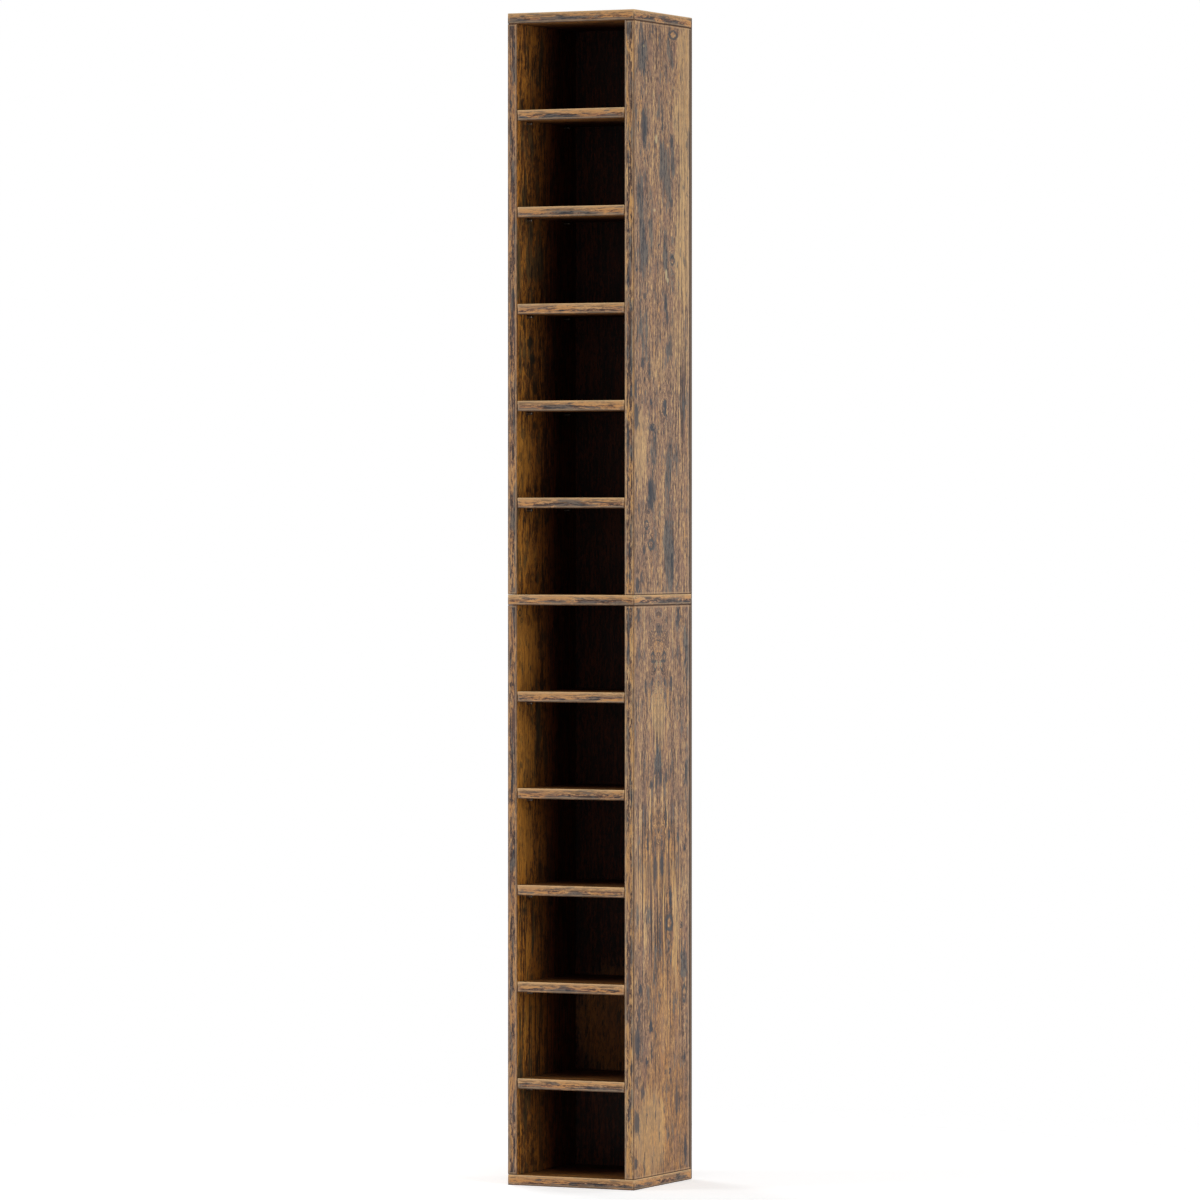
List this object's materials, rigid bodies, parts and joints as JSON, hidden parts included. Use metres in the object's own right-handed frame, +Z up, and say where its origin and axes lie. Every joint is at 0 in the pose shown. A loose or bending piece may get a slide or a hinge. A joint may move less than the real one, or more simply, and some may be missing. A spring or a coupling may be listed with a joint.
{
  "type": "cd rack",
  "caption": "Tall narrow open-fronted storage tower of wood-decor board, with equal bays for disc cases above and below a middle board.",
  "frame": {"origin": "centre of the underside of the bottom board, on the floor", "axes": "+Z up, the open front faces -Y, +X to the right as seen from the front"},
  "size_m": [0.215, 0.21, 1.8],
  "materials": {
    "decor_board": "matt melamine-faced chipboard in a rustic aged-oak decor",
    "back_hardboard": "3 mm hardboard, the same decor towards the bays, bare brown at the rear",
    "zinc_casting": "matt die-cast",
    "bright_steel": "bright zinc-plated",
    "beech_dowel": "bare"
  },
  "bodies": {
    "root": {"bottom_board": "decor_board", "middle_board": "decor_board", "top_board": "decor_board", "lower_left_side": "decor_board", "lower_right_side": "decor_board", "upper_left_side": "decor_board", "upper_right_side": "decor_board", "shelf_01": "decor_board", "shelf_02": "decor_board", "shelf_03": "decor_board", "shelf_04": "decor_board", "shelf_05": "decor_board", "shelf_06": "decor_board", "shelf_07": "decor_board", "shelf_08": "decor_board", "shelf_09": "decor_board", "shelf_10": "decor_board", "lower_back_panel": "back_hardboard", "upper_back_panel": "back_hardboard", "top_left_front_cam": "zinc_casting", "top_left_rear_cam": "zinc_casting", "top_right_front_cam": "zinc_casting", "top_right_rear_cam": "zinc_casting", "upper_middle_left_front_cam": "zinc_casting", "upper_middle_left_rear_cam": "zinc_casting", "upper_middle_right_front_cam": "zinc_casting", "upper_middle_right_rear_cam": "zinc_casting", "lower_middle_left_front_cam": "zinc_casting", "lower_middle_left_rear_cam": "zinc_casting", "lower_middle_right_front_cam": "zinc_casting", "lower_middle_right_rear_cam": "zinc_casting", "bottom_left_front_cam": "zinc_casting", "bottom_left_rear_cam": "zinc_casting", "bottom_right_front_cam": "zinc_casting", "bottom_right_rear_cam": "zinc_casting", "top_left_front_bolt": "bright_steel", "top_left_rear_bolt": "bright_steel", "top_right_front_bolt": "bright_steel", "top_right_rear_bolt": "bright_steel", "middle_left_front_double_bolt": "bright_steel", "middle_left_rear_double_bolt": "bright_steel", "middle_right_front_double_bolt": "bright_steel", "middle_right_rear_double_bolt": "bright_steel", "bottom_left_front_bolt": "bright_steel", "bottom_left_rear_bolt": "bright_steel", "bottom_right_front_bolt": "bright_steel", "bottom_right_rear_bolt": "bright_steel", "top_left_dowel": "beech_dowel", "top_right_dowel": "beech_dowel", "middle_left_dowel": "beech_dowel", "middle_right_dowel": "beech_dowel", "bottom_left_dowel": "beech_dowel", "bottom_right_dowel": "beech_dowel"}
  },
  "joints": []
}
